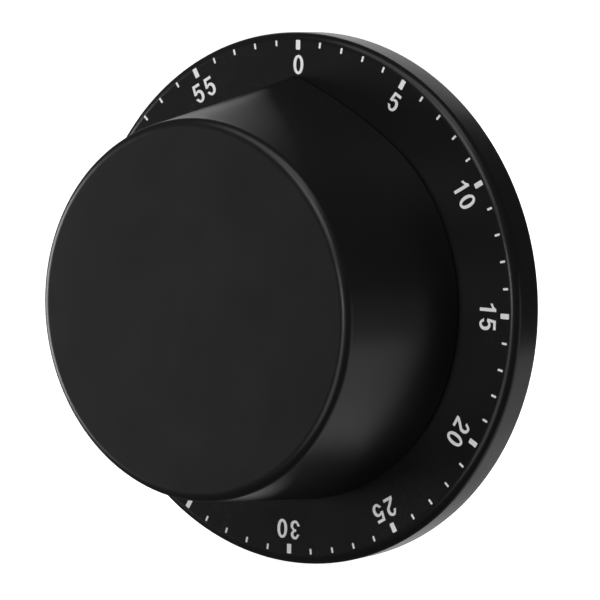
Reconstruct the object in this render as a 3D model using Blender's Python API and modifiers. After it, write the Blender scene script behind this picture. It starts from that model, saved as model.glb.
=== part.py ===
"""Round mechanical kitchen timer with a turning knob, standing upright as it hangs on a steel door.

Its face looks along -Y, the pointer at 0 points up (+Z), and the origin is the centre of the magnet's
back face. Lengths below are in millimetres and MM turns them into metres. Depth is measured forwards
(along -Y) from the magnet's back face. A place across the face is (x, z), and an angle across the face
runs from +X towards +Z.
"""

import math

import bmesh
import bpy

MM = 0.001

# Casing
DIAL_R = 40.0
DIAL_BACK_R = 39.9
RIM_FILLET = 1.48
COVER_BACK = 0.3
DIAL_FACE = 6.5
DIAL_WALL = 1.6
SIDE_INNER_R = 37.9
DRUM_INNER_R = 24.2
DRUM_OUTER_R = 25.4
DRUM_FRONT = 28.4
DRUM_END_WALL = 1.2
DRUM_HOLE_R = 4.7
DIAL_REAR = DIAL_FACE - DIAL_WALL
DRUM_END_REAR = DRUM_FRONT - DRUM_END_WALL

# Knob
KNOB_BACK = 6.9
KNOB_FACE = 32.0
KNOB_FACE_R = 27.9
KNOB_BASE_R = 30.1
KNOB_FILLET = 1.5
POINTER_RISE = 3.3
POINTER_HALF_ANGLE = 35.0
POINTER_CURVE = 2.2
KNOB_INNER_FRONT_R = 26.1
KNOB_INNER_BACK_R = 27.9
KNOB_FACE_WALL = 2.1
BOSS_R = 4.0
BOSS_BACK = 26.1
CLIP_GROOVE_R = 3.6
CLIP_BACK = 26.5
CLIP_FRONT = 27.1
D_FLAT = 1.5
STEM_R = 2.2
STEM_FRONT = 30.4

# Back of the casing
COVER_R = 37.4
COVER_WALL = 1.8
MAGNET_R = 11.0
MAGNET_THICK = 2.8
KEEPER_THICK = 0.9
POCKET_WALL = 1.3
POCKET_FLOOR = 0.9
RING_INNER_R = 31.6
RING_OUTER_R = 33.9
RING_FRONT = 1.25
COVER_SCREW_AT = 28.0
COVER_SCREW_ANGLES = (30, 150, 270)
SLOT_ROWS = (15.4, 18.2, 21.0)
SLOT_WIDTH = 1.3
SLOT_SPANS = (60, 180, 300)
SLOT_HALF_SPAN = 23
COVER_FRONT = COVER_BACK + COVER_WALL
POCKET_R = MAGNET_R + 0.3
POCKET_REAR = MAGNET_THICK + KEEPER_THICK + 0.25

# Movement plates
PLATE_R = 22.9
BACK_PLATE = (11.5, 12.5)
FRONT_PLATE = (24.8, 25.8)
PILLAR_AT = 21.0
PILLAR_ANGLES = (100, 220, 340)
PILLAR_R = 1.3
TENON_R = 0.8
SCREW_AT = 21.2
SCREW_ANGLES = (40, 160, 280)
NOTCH_R = 17.9
NOTCH_HALF_ANGLE = 9
PIVOT_R = 0.4
PIVOT_HOLE_R = 0.55

# Wheels: module, wheel teeth, pinion leaves
MAIN_GEAR = (0.35, 64, 8)
SECOND_GEAR = (0.30, 56, 8)
THIRD_GEAR = (0.25, 48, 8)
BARREL_GEAR = (0.36, 60, 10)
WHEEL_TOOTH = (0.85, 1.2, 0.58, 0.2)
LEAF_TOOTH = (0.75, 1.25, 0.48, 0.2)
ESCAPE_TEETH = 15
ESCAPE_TIP_R = 4.8
ESCAPE_ROOT_R = 3.6
STAR_TEETH = 12
STAR_TIP_R = 5.0
STAR_ROOT_R = 3.7

# Levels of the wheels, as (back, front) depths
MAIN_WHEEL = (19.1, 19.8)
SECOND_WHEEL = (20.45, 21.15)
THIRD_WHEEL = (22.0, 22.7)
ESCAPE_WHEEL = (20.3, 20.9)
STAR_WHEEL = (20.4, 21.1)
BARREL_TEETH = (13.0, 13.9)
BARREL_FRONT = 17.95
BARREL_R = 10.3
BARREL_WALL = 0.5
CAM_DISC = (22.3, 23.3)
CAM_R = 6.5
CAM_HUB_R = 3.4
DETENT = (22.4, 23.2)
HAMMER_ARM = (10.55, 11.2)

# Bell
BELL_R = 14.5
BELL_TOP_R = 10.6
BELL_BACK = 6.6
BELL_MOUTH = 10.2
BELL_WALL = 0.7


def polar(radius, degrees):
    angle = math.radians(degrees)
    return (radius * math.cos(angle), radius * math.sin(angle))


def centres(gear):
    """The distance between the axes of a wheel and the pinion that it drives."""
    module, wheel, pinion = gear
    return module * (wheel + pinion) / 2


def turned_by(near, far, apart):
    """The angle at the main axis between two arbors at these radii that stand this far apart."""
    return math.degrees(math.acos((near**2 + far**2 - apart**2) / (2 * near * far)))


# Arbor places: each is found from the one that drives it
SECOND_ANGLE = 200.0
SECOND_AT = centres(MAIN_GEAR)
THIRD_AT = 15.0
THIRD_ANGLE = SECOND_ANGLE + turned_by(SECOND_AT, THIRD_AT, centres(SECOND_GEAR))
ESCAPE_AT = 16.0
ESCAPE_ANGLE = THIRD_ANGLE + turned_by(THIRD_AT, ESCAPE_AT, centres(THIRD_GEAR))
PALLET_AT = 16.5
PALLET_REACH = 6.3
PALLET_ANGLE = ESCAPE_ANGLE + turned_by(ESCAPE_AT, PALLET_AT, PALLET_REACH)
STRIKE_ANGLE = 60.0
STRIKE_AT = centres(BARREL_GEAR)
HAMMER_AT = 15.0
HAMMER_REACH = 6.8
HAMMER_ANGLE = STRIKE_ANGLE - turned_by(STRIKE_AT, HAMMER_AT, HAMMER_REACH)

CENTRE = (0.0, 0.0)
SECOND = polar(SECOND_AT, SECOND_ANGLE)
THIRD = polar(THIRD_AT, THIRD_ANGLE)
ESCAPE = polar(ESCAPE_AT, ESCAPE_ANGLE)
PALLET = polar(PALLET_AT, PALLET_ANGLE)
STRIKE = polar(STRIKE_AT, STRIKE_ANGLE)
HAMMER = polar(HAMMER_AT, HAMMER_ANGLE)
STUD = polar(16.5, 125)
HAMMER_HEAD = (16.4, -8)
DETENT_END = (8.26, 78.8)
DETENT_FOOT = (-0.75, 6.66)
ARBORS = (SECOND, THIRD, ESCAPE, PALLET, STRIKE, HAMMER)


def direction(start, end):
    """The angle, in degrees, of the line from one place to another."""
    return math.degrees(math.atan2(end[1] - start[1], end[0] - start[0]))


# ---------------------------------------------------------------- scene, materials and builders


def clear_scene():
    for old in list(bpy.data.objects):
        bpy.data.objects.remove(old)


def new_collection(name):
    made = bpy.data.collections.new(name)
    bpy.context.scene.collection.children.link(made)
    return made


def plastic(name, colour, roughness, metallic=0.0):
    made = bpy.data.materials.new(name)
    made.use_nodes = True
    shader = made.node_tree.nodes["Principled BSDF"]
    shader.inputs["Base Color"].default_value = (*colour, 1)
    shader.inputs["Roughness"].default_value = roughness
    shader.inputs["Metallic"].default_value = metallic
    made.diffuse_color = (*colour, 1)
    return made


def metal(name, colour, roughness):
    return plastic(name, colour, roughness, 1.0)


clear_scene()
PARTS = new_collection("kitchen_timer")
CUTTERS = new_collection("cutters")
BLACK = ((0.012, 0.012, 0.013), 0.5)
STEEL = ((0.55, 0.56, 0.58), 0.3)
BRASS = ((0.72, 0.52, 0.22), 0.3)
ZINC = ((0.62, 0.63, 0.65), 0.35)


def helper(obj):
    """Moves a cutter, or a piece that is joined into another, out of the model."""
    for owner in list(obj.users_collection):
        owner.objects.unlink(obj)
    CUTTERS.objects.link(obj)
    obj.hide_render = True
    obj.display_type = "WIRE"
    return obj


def add(name, data, look, location, rotation=(0, 0, 0)):
    obj = bpy.data.objects.new(name, data)
    obj.location = location
    obj.rotation_euler = rotation
    PARTS.objects.link(obj)
    data.materials.append(look or plastic(name, *BLACK))
    return obj


def turned(name, profile, look=None, at=CENTRE, steps=16):
    """A turned piece. Its profile is a list of (radius, depth) around the section, either a closed loop
    clear of the axis or a line that starts and ends on it."""
    area = sum(a[0] * b[1] - b[0] * a[1] for a, b in zip(profile, profile[1:] + profile[:1]))
    if area < 0:
        profile = profile[::-1]
    mesh = bpy.data.meshes.new(name)
    shape = bmesh.new()
    points = [shape.verts.new((radius * MM, -depth * MM, 0)) for radius, depth in profile]
    for start, end in zip(points, points[1:]):
        shape.edges.new((start, end))
    if profile[0][0] > 0:
        shape.edges.new((points[-1], points[0]))
    shape.to_mesh(mesh)
    shape.free()
    obj = add(name, mesh, look, (at[0] * MM, 0, at[1] * MM))
    screw = obj.modifiers.new("turn", "SCREW")
    screw.axis = "Y"
    screw.steps = screw.render_steps = steps
    screw.use_merge_vertices = True
    screw.merge_threshold = 1e-5
    screw.use_smooth_shade = False
    return obj


def flat(name, outlines, levels, look=None, at=CENTRE):
    """A flat piece between two depths. The outlines are closed lists of (x, z) about its own axis, and
    those inside the first one are holes."""
    back, front = levels
    curve = bpy.data.curves.new(name, "CURVE")
    curve.dimensions = "2D"
    curve.fill_mode = "BOTH"
    curve.extrude = (front - back) / 2 * MM
    for outline in outlines:
        spline = curve.splines.new("POLY")
        spline.points.add(len(outline) - 1)
        spline.use_cyclic_u = True
        for point, (x, z) in zip(spline.points, outline):
            point.co = (x * MM, z * MM, 0, 1)
    middle = (back + front) / 2
    return add(name, curve, look, (at[0] * MM, -middle * MM, at[1] * MM), (math.pi / 2, 0, 0))


def as_mesh(obj):
    """Turns a curve object into a mesh object with its caps welded, so that Booleans can use it."""
    bpy.context.view_layer.update()
    graph = bpy.context.evaluated_depsgraph_get()
    mesh = bpy.data.meshes.new_from_object(obj.evaluated_get(graph))
    shape = bmesh.new()
    shape.from_mesh(mesh)
    bmesh.ops.remove_doubles(shape, verts=shape.verts, dist=1e-6)
    bmesh.ops.recalc_face_normals(shape, faces=shape.faces)
    shape.to_mesh(mesh)
    shape.free()
    name, matrix = obj.name, obj.matrix_world.copy()
    bpy.data.objects.remove(obj)
    made = bpy.data.objects.new(name, mesh)
    made.matrix_world = matrix
    PARTS.objects.link(made)
    return made


def rod(name, radius, levels, at=CENTRE, steps=16):
    """A plain cylinder along the depth, used as a cutter or joined into a piece."""
    back, front = levels
    return turned(name, [(0, back), (radius, back), (radius, front), (0, front)], None, at, steps)


def boolean(target, operation, other):
    modifier = target.modifiers.new(other.name, "BOOLEAN")
    modifier.operation = operation
    modifier.object = helper(other)
    modifier.solver = "EXACT"


def cut(target, other):
    boolean(target, "DIFFERENCE", other)


def join(target, other):
    boolean(target, "UNION", other)


def ring(radius, count=16, at=CENTRE, start=0.0):
    """Points of a circle."""
    made = []
    for step in range(count):
        x, z = polar(radius, start + 360 * step / count)
        made.append((at[0] + x, at[1] + z))
    return made


def arc(radius, begin, end, count):
    return [polar(radius, begin + (end - begin) * step / count) for step in range(count + 1)]


def teeth(count, module, shape, start=0.0):
    """The outline of a gear whose first tooth points along start. shape holds the addendum and the
    dedendum in modules, then the tooth's width at its root and its tip as shares of the pitch."""
    addendum, dedendum, root_share, tip_share = shape
    root_r = (count / 2 - dedendum) * module
    tip_r = (count / 2 + addendum) * module
    shares = (-root_share / 2, -tip_share / 2, tip_share / 2, root_share / 2)
    return toothed(count, root_r, tip_r, shares, start)


def toothed(count, root_r, tip_r, shares, start):
    """An outline of equal teeth. shares are where each tooth's two root corners and two tip corners
    stand, in pitches from its middle: root, tip, tip, root."""
    pitch = 360 / count
    outline = []
    for index in range(count):
        for radius, share in zip((root_r, tip_r, tip_r, root_r), shares):
            outline.append(polar(radius, start + (index + share) * pitch))
    return outline


def windows(count, inner, outer, arm=9.0, start=0.0):
    """Openings between a wheel's spokes."""
    made = []
    for index in range(count):
        middle = start + index * 360 / count
        half = 180 / count
        inside = half - arm * outer / inner / 2
        outside = half - arm / 2
        edge = arc(outer, middle - outside, middle + outside, 6)
        made.append(edge + arc(inner, middle + inside, middle - inside, 3))
    return made


def wheel(name, gear, levels, at, hole, start, spokes=5, hub=2.6):
    module, count, _ = gear
    rim = (count / 2 - WHEEL_TOOTH[1]) * module - 1.1
    openings = windows(spokes, hub, rim, start=start)
    outlines = [teeth(count, module, WHEEL_TOOTH, start), ring(hole, 16), *openings]
    return flat(name, outlines, levels, metal(name, *BRASS), at)


def arbor(name, at, body_r, gear=None, leaves=None, start=0.0, rear=11.6, rear_r=PIVOT_R):
    """A steel arbor between the plates, with a pivot at each end and, where it is driven, its leaves."""
    front = FRONT_PLATE[1] - 0.1
    profile = [
        (0, rear),
        (rear_r, rear),
        (rear_r, BACK_PLATE[1] + 0.2),
        (body_r, BACK_PLATE[1] + 0.2),
        (body_r, FRONT_PLATE[0] - 0.2),
        (PIVOT_R, FRONT_PLATE[0] - 0.2),
        (PIVOT_R, front),
        (0, front),
    ]
    obj = turned(name, profile, metal(name, *STEEL), at, 12)
    if gear:
        module, _, count = gear
        outline = teeth(count, module, LEAF_TOOTH, start)
        join(obj, as_mesh(flat(name + "_leaves", [outline], leaves, None, at)))
    return obj


# ---------------------------------------------------------------- casing


def fillet(centre, radius, begin, end, count):
    """Points of a rounded corner in a (radius, depth) section."""
    return [(centre[0] + x, centre[1] + z) for x, z in arc(radius, begin, end, count)]


def base_housing():
    rounded = fillet((DIAL_R - RIM_FILLET, DIAL_FACE - RIM_FILLET), RIM_FILLET, 0, 90, 4)
    profile = [
        (SIDE_INNER_R, COVER_BACK),
        (DIAL_BACK_R - 0.4, COVER_BACK),
        (DIAL_BACK_R, COVER_BACK + 0.4),
        *rounded,
        (DRUM_OUTER_R, DIAL_FACE),
        (DRUM_OUTER_R, DRUM_FRONT),
        (DRUM_HOLE_R, DRUM_FRONT),
        (DRUM_HOLE_R, DRUM_END_REAR),
        (DRUM_INNER_R, DRUM_END_REAR),
        (DRUM_INNER_R, DIAL_REAR),
        (SIDE_INNER_R, DIAL_REAR),
    ]
    obj = turned("base_housing", profile, plastic("base_housing", *BLACK), steps=44)
    for angle in COVER_SCREW_ANGLES:
        place = polar(COVER_SCREW_AT, angle)
        join(obj, rod(f"cover_boss_{angle}", 2.4, (COVER_FRONT + 0.3, DIAL_REAR + 0.5), place, 14))
        cut(obj, rod(f"cover_boss_hole_{angle}", 1.0, (COVER_FRONT, DIAL_REAR + 0.3), place, 14))
    for angle in SCREW_ANGLES:
        place = polar(SCREW_AT, angle)
        join(obj, rod(f"movement_boss_{angle}", 1.9, (26.1, DRUM_END_REAR + 0.4), place, 14))
        cut(obj, rod(f"movement_boss_hole_{angle}", 0.8, (26.0, DRUM_END_REAR + 0.7), place, 14))


def slot_outline(radius, middle):
    outer = arc(radius + SLOT_WIDTH / 2, middle - SLOT_HALF_SPAN, middle + SLOT_HALF_SPAN, 5)
    inner = arc(radius - SLOT_WIDTH / 2, middle + SLOT_HALF_SPAN, middle - SLOT_HALF_SPAN, 5)
    return outer + inner


def rear_cover():
    groove = (RING_INNER_R - 0.2, RING_OUTER_R + 0.2, RING_FRONT + 0.1)
    profile = [
        (0, POCKET_REAR),
        (POCKET_R, POCKET_REAR),
        (POCKET_R, COVER_BACK),
        (groove[0], COVER_BACK),
        (groove[0], groove[2]),
        (groove[1], groove[2]),
        (groove[1], COVER_BACK),
        (COVER_R, COVER_BACK),
        (COVER_R, COVER_FRONT),
        (POCKET_R + POCKET_WALL, COVER_FRONT),
        (POCKET_R + POCKET_WALL, POCKET_REAR + POCKET_FLOOR),
        (0, POCKET_REAR + POCKET_FLOOR),
    ]
    obj = turned("rear_cover", profile, plastic("rear_cover", *BLACK), steps=40)
    for angle in COVER_SCREW_ANGLES:
        seat = COVER_BACK + 1.1
        stepped = [(0, -1), (2.1, -1), (2.1, seat), (1.1, seat), (1.1, COVER_FRONT + 1), (0, COVER_FRONT + 1)]
        cut(obj, turned(f"cover_hole_{angle}", stepped, None, polar(COVER_SCREW_AT, angle), 14))
    for middle in SLOT_SPANS:
        for radius in SLOT_ROWS:
            outline = slot_outline(radius, middle)
            name = f"sound_slot_{middle}_{round(radius)}"
            cut(obj, as_mesh(flat(name, [outline], (COVER_BACK - 1, COVER_FRONT + 1))))


def back_pieces():
    turned(
        "magnet",
        [(0, 0), (MAGNET_R, 0), (MAGNET_R, MAGNET_THICK), (0, MAGNET_THICK)],
        metal("magnet", *ZINC),
        steps=36,
    )
    keeper = (MAGNET_THICK + 0.1, MAGNET_THICK + 0.1 + KEEPER_THICK)
    turned(
        "magnet_keeper",
        [(0, keeper[0]), (MAGNET_R, keeper[0]), (MAGNET_R, keeper[1]), (0, keeper[1])],
        metal("magnet_keeper", *STEEL),
        steps=36,
    )
    turned(
        "rubber_ring",
        [(RING_INNER_R, 0), (RING_OUTER_R, 0), (RING_OUTER_R, RING_FRONT), (RING_INNER_R, RING_FRONT)],
        plastic("rubber_ring", (0.02, 0.02, 0.02), 0.8),
        steps=48,
    )


def screw(name, at, head_r, head, shank_r, tip):
    """A screw whose head is at the back. head is its (back, front) depths and tip is its end's depth."""
    back, seat = head
    profile = [(0, back), (head_r, back), (head_r, seat), (shank_r, seat), (shank_r, tip), (0, tip)]
    obj = turned(name, profile, metal(name, *ZINC), at, 14)
    slot = [(-0.2, -3), (0.2, -3), (0.2, 3), (-0.2, 3)]
    cut(obj, as_mesh(flat(name + "_slot", [slot], (back - 1, back + 0.35), None, at)))


def screws():
    for index, angle in enumerate(COVER_SCREW_ANGLES):
        screw(f"cover_screw_{index + 1}", polar(COVER_SCREW_AT, angle), 1.8, (0.5, 1.3), 0.85, 4.8)
    for index, angle in enumerate(SCREW_ANGLES):
        screw(f"movement_screw_{index + 1}", polar(SCREW_AT, angle), 1.5, (23.9, 24.65), 0.6, 27.5)


# ---------------------------------------------------------------- knob


def pointer(degrees):
    """How far the pointer stands out of the knob's base circle, this far round from 12 o'clock."""
    away = abs((degrees - 90 + 180) % 360 - 180)
    if away >= POINTER_HALF_ANGLE:
        return 0.0
    return POINTER_RISE * (1 - away / POINTER_HALF_ANGLE) ** POINTER_CURVE


def knob_angles():
    """Angles round the knob, closer together along the pointer."""
    near = POINTER_HALF_ANGLE / 10
    far = (360 - 2 * POINTER_HALF_ANGLE) / 29
    along_pointer = [90 - POINTER_HALF_ANGLE + near * step for step in range(20)]
    return along_pointer + [90 + POINTER_HALF_ANGLE + far * step for step in range(29)]


def knob_level(share):
    """One ring of the knob's side, at this share of the way from its base to its face."""
    radius = KNOB_BASE_R + (KNOB_FACE_R - KNOB_BASE_R) * share
    return [polar(radius + pointer(angle) * (1 - share), angle) for angle in knob_angles()]


def knob_rings():
    """The knob's outer surface as (depth, ring) pairs: the side lofts from the pointed base outline to
    the round face, and the front edge is rounded."""
    height = KNOB_FACE - KNOB_BACK
    side_share = (height - KNOB_FILLET) / height
    levels = []
    for step in range(4):
        share = side_share * step / 3
        levels.append((KNOB_BACK + height * share, knob_level(share)))
    last = levels[-1][1]
    for step in range(1, 5):
        angle = math.radians(90 * step / 4)
        inset = KNOB_FILLET * (1 - math.cos(angle))
        rounded = []
        for x, z in last:
            scale = 1 - inset / math.hypot(x, z)
            rounded.append((x * scale, z * scale))
        levels.append((KNOB_FACE - KNOB_FILLET * (1 - math.sin(angle)), rounded))
    return levels


def loft(name, levels, look):
    """A closed solid through rings that all have the same number of points."""
    mesh = bpy.data.meshes.new(name)
    shape = bmesh.new()
    rings = []
    for depth, outline in levels:
        rings.append([shape.verts.new((x * MM, -depth * MM, z * MM)) for x, z in outline])
    for lower, upper in zip(rings, rings[1:]):
        for index in range(len(lower)):
            after = (index + 1) % len(lower)
            shape.faces.new((lower[index], lower[after], upper[after], upper[index]))
    shape.faces.new(rings[0])
    shape.faces.new(rings[-1])
    bmesh.ops.recalc_face_normals(shape, faces=shape.faces)
    shape.to_mesh(mesh)
    shape.free()
    return add(name, mesh, look, (0, 0, 0))


def d_outline(radius, flat_at):
    """A round outline with one flat side, to the right."""
    half = math.degrees(math.acos(flat_at / radius))
    return arc(radius, half, 360 - half, 14)


def knob():
    obj = loft("knob", knob_rings(), plastic("knob", *BLACK))
    inner_face = KNOB_FACE - KNOB_FACE_WALL
    cavity = [
        (0, KNOB_BACK - 1),
        (KNOB_INNER_BACK_R, KNOB_BACK - 1),
        (KNOB_INNER_BACK_R, KNOB_BACK),
        (KNOB_INNER_FRONT_R, inner_face),
        (BOSS_R, inner_face),
        (BOSS_R, CLIP_FRONT),
        (CLIP_GROOVE_R, CLIP_FRONT),
        (CLIP_GROOVE_R, CLIP_BACK),
        (BOSS_R, CLIP_BACK),
        (BOSS_R, BOSS_BACK),
        (0, BOSS_BACK),
    ]
    cut(obj, turned("knob_hollow", cavity, steps=40))
    bore = [d_outline(STEM_R + 0.15, D_FLAT + 0.12)]
    cut(obj, as_mesh(flat("knob_bore", bore, (BOSS_BACK - 1, STEM_FRONT + 0.15))))
    clip_inner = CLIP_GROOVE_R + 0.1
    outline = arc(clip_inner + 1.5, -60, 240, 18) + arc(clip_inner, 240, -60, 18)
    flat("knob_clip", [outline], (CLIP_BACK + 0.1, CLIP_FRONT - 0.1), metal("knob_clip", *STEEL))


# ---------------------------------------------------------------- main arbor, spring and barrel


def main_arbor():
    profile = [
        (0, 11.2),
        (0.75, 11.2),
        (0.75, 12.75),
        (2.0, 12.75),
        (2.0, 18.7),
        (3.2, 18.7),
        (3.2, 19.0),
        (2.3, 19.0),
        (2.3, 20.5),
        (STEM_R, 20.5),
        (STEM_R, STEM_FRONT),
        (0, STEM_FRONT),
    ]
    obj = turned("main_arbor", profile, metal("main_arbor", *STEEL), steps=20)
    side = [(D_FLAT, -4), (5, -4), (5, 4), (D_FLAT, 4)]
    cut(obj, as_mesh(flat("stem_flat", [side], (26.0, STEM_FRONT + 1))))


def on_main_arbor():
    wheel("main_wheel", MAIN_GEAR, MAIN_WHEEL, CENTRE, 2.45, SECOND_ANGLE, 5, 4.6)
    washer = [(2.5, 20.3), (4.8, 19.95), (4.8, 20.2), (2.5, 20.6)]
    turned("clutch_washer", washer, metal("clutch_washer", *STEEL), steps=24)
    cam = [
        (STEM_R + 0.12, 20.75),
        (CAM_HUB_R, 20.75),
        (CAM_HUB_R, CAM_DISC[0]),
        (CAM_R, CAM_DISC[0]),
        (CAM_R, CAM_DISC[1]),
        (STEM_R + 0.12, CAM_DISC[1]),
    ]
    cam_obj = turned("release_cam", cam, metal("release_cam", *BRASS), steps=32)
    notch = [polar(8, 88), polar(8, 114), polar(5.3, 114), polar(5.3, 88)]
    cut(cam_obj, as_mesh(flat("cam_notch", [notch], (CAM_DISC[0] - 0.5, CAM_DISC[1] + 0.5))))


def mainspring_outline(inner, outer, turns, thickness):
    """A spiral strip: out along its outer side and back along its inner side."""
    steps = round(turns * 14)
    strip = []
    for step in range(steps + 1):
        share = step / steps
        strip.append((inner + (outer - inner) * share, 360 * turns * share))
    there = [polar(radius + thickness / 2, angle) for radius, angle in strip]
    back = [polar(radius - thickness / 2, angle) for radius, angle in reversed(strip)]
    return there + back


def barrel():
    module, count, _ = BARREL_GEAR
    outlines = [teeth(count, module, WHEEL_TOOTH, STRIKE_ANGLE), ring(2.2, 20)]
    name = "mainspring_barrel"
    obj = as_mesh(flat(name, outlines, BARREL_TEETH, metal(name, *BRASS)))
    inner = BARREL_R - BARREL_WALL
    tube = [
        (inner, BARREL_TEETH[1] - 0.3),
        (BARREL_R, BARREL_TEETH[1] - 0.3),
        (BARREL_R, BARREL_FRONT),
        (inner, BARREL_FRONT),
    ]
    join(obj, turned("barrel_wall", tube, steps=40))
    lid = (BARREL_FRONT + 0.1, BARREL_FRONT + 0.6)
    cover = [(2.2, lid[0]), (BARREL_R, lid[0]), (BARREL_R, lid[1]), (2.2, lid[1])]
    turned("barrel_cover", cover, metal("barrel_cover", *BRASS), steps=40)
    strip = mainspring_outline(2.45, inner - 0.4, 6.25, 0.3)
    levels = (BARREL_TEETH[1] + 0.15, BARREL_FRONT - 0.15)
    flat("mainspring", [strip], levels, metal("mainspring", *STEEL))


# ---------------------------------------------------------------- plates and bell


def front_plate():
    holes = [ring(PIVOT_HOLE_R, 10, place) for place in ARBORS]
    holes.append(ring(STEM_R + 0.2, 20))
    holes.append(ring(0.65, 10, STUD))
    holes += [ring(0.95, 12, polar(PILLAR_AT, angle)) for angle in PILLAR_ANGLES]
    holes += [ring(0.8, 12, polar(SCREW_AT, angle)) for angle in SCREW_ANGLES]
    outlines = [ring(PLATE_R, 48), *holes]
    return flat("front_plate", outlines, FRONT_PLATE, metal("front_plate", *BRASS))


def back_plate():
    edge = []
    for before, after in zip(SCREW_ANGLES[-1:] + SCREW_ANGLES[:-1], SCREW_ANGLES):
        begin = (before - 360 if before > after else before) + NOTCH_HALF_ANGLE
        edge += arc(PLATE_R, begin, after - NOTCH_HALF_ANGLE, 14)
        edge += arc(NOTCH_R, after - NOTCH_HALF_ANGLE, after + NOTCH_HALF_ANGLE, 3)
    holes = [ring(PIVOT_HOLE_R, 10, place) for place in ARBORS[:-1]]
    holes.append(ring(0.75, 10, HAMMER))
    holes.append(ring(1.85, 16))
    holes += [ring(0.95, 12, polar(PILLAR_AT, angle)) for angle in PILLAR_ANGLES]
    return flat("back_plate", [edge, *holes], BACK_PLATE, metal("back_plate", *BRASS))


def pillars():
    seat, shoulder = BACK_PLATE[1] + 0.1, FRONT_PLATE[0] - 0.1
    profile = [
        (0, 9.9),
        (TENON_R, 9.9),
        (TENON_R, seat),
        (PILLAR_R, seat),
        (PILLAR_R, shoulder),
        (TENON_R, shoulder),
        (TENON_R, FRONT_PLATE[1]),
        (0, FRONT_PLATE[1]),
    ]
    for index, angle in enumerate(PILLAR_ANGLES):
        place = polar(PILLAR_AT, angle)
        name = f"pillar_{index + 1}"
        turned(name, profile, metal(name, *STEEL), place, 12)
        name = f"pillar_nut_{index + 1}"
        flat(name, [ring(1.62, 6), ring(0.95, 12)], (10.2, 11.4), metal(name, *STEEL), place)


def bell():
    def bowl(top_r, top, mouth_r):
        """The quarter turn from the flat back to the mouth, as an ellipse."""
        points = []
        for step in range(5):
            angle = math.radians(90 * step / 4)
            radius = top_r + (mouth_r - top_r) * math.sin(angle)
            points.append((radius, BELL_MOUTH - (BELL_MOUTH - top) * math.cos(angle)))
        return points

    outside = bowl(BELL_TOP_R, BELL_BACK, BELL_R)
    inside = bowl(BELL_TOP_R - BELL_WALL / 2, BELL_BACK + BELL_WALL, BELL_R - BELL_WALL)
    profile = [(1.0, BELL_BACK), *outside, *reversed(inside), (1.0, BELL_BACK + BELL_WALL)]
    turned("bell", profile, metal("bell", *STEEL), steps=36)
    post = [
        (0, 9.9),
        (0.75, 9.9),
        (0.75, BELL_BACK + BELL_WALL + 0.1),
        (1.9, BELL_BACK + BELL_WALL + 0.1),
        (1.9, 9.4),
        (2.6, 9.4),
        (2.6, BACK_PLATE[0] - 0.1),
        (1.7, BACK_PLATE[0] - 0.1),
        (1.7, BACK_PLATE[1]),
        (0.95, BACK_PLATE[1]),
        (0.95, 10.9),
        (0, 10.9),
    ]
    turned("bell_post", post, metal("bell_post", *BRASS), steps=16)
    screw("bell_screw", CENTRE, 1.9, (5.5, 6.5), 0.55, 9.6)


# ---------------------------------------------------------------- time train


def train():
    toward_main = SECOND_ANGLE + 180
    arbor("second_pinion", SECOND, 0.7, MAIN_GEAR, (18.9, 20.0), toward_main + 22.5)
    to_third = direction(SECOND, THIRD)
    wheel("second_wheel", SECOND_GEAR, SECOND_WHEEL, SECOND, 0.8, to_third, 4, 1.7)
    to_second = direction(THIRD, SECOND)
    arbor("third_pinion", THIRD, 0.6, SECOND_GEAR, (20.25, 21.35), to_second + 22.5)
    to_escape = direction(THIRD, ESCAPE)
    wheel("third_wheel", THIRD_GEAR, THIRD_WHEEL, THIRD, 0.7, to_escape, 4, 1.5)
    to_third = direction(ESCAPE, THIRD)
    arbor("escape_pinion", ESCAPE, 0.5, THIRD_GEAR, (21.8, 22.9), to_third + 22.5)


def escapement():
    to_pallet = direction(ESCAPE, PALLET)
    look = metal("escape_wheel", *BRASS)
    # the teeth lean forwards, with a steep front, and each pallet faces a gap
    shares = (-0.18, -0.05, 0.05, 0.42)
    leaning = toothed(ESCAPE_TEETH, ESCAPE_ROOT_R, ESCAPE_TIP_R, shares, to_pallet + 12)
    outlines = [leaning, ring(0.6, 12), *windows(3, 1.3, 2.9, 30, to_pallet)]
    flat("escape_wheel", outlines, ESCAPE_WHEEL, look, ESCAPE)
    arbor("pallet_arbor", PALLET, 0.5)
    # two arms reach round the wheel, each with a pallet just outside its tips
    half = [(-1.3, 1.0), (0.3, 1.5), (2.0, 4.9), (4.2, 5.3), (4.5, 4.5), (2.9, 4.6), (1.45, 1.2)]
    outline = facing(mirrored(half), direction(PALLET, ESCAPE))
    look = metal("pallet_anchor", *STEEL)
    flat("pallet_anchor", [outline, ring(0.6, 12)], ESCAPE_WHEEL, look, PALLET)


def mirrored(half):
    """A closed outline from its half on the positive side of the first axis."""
    return half + [(along, -across) for along, across in reversed(half)]


def facing(outline, degrees):
    """The outline turned so that its first axis points this way."""
    cos, sin = polar(1, degrees)
    return [(along * cos - across * sin, along * sin + across * cos) for along, across in outline]


# ---------------------------------------------------------------- strike side


def strike():
    toward_barrel = STRIKE_ANGLE + 180
    arbor("strike_pinion", STRIKE, 0.7, BARREL_GEAR, (12.8, 14.1), toward_barrel + 18)
    to_hammer = direction(STRIKE, HAMMER)
    outline = toothed(STAR_TEETH, STAR_ROOT_R, STAR_TIP_R, (-0.32, -0.06, 0.06, 0.32), to_hammer + 15)
    flat("star_wheel", [outline, ring(0.8, 12)], STAR_WHEEL, metal("star_wheel", *BRASS), STRIKE)


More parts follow.
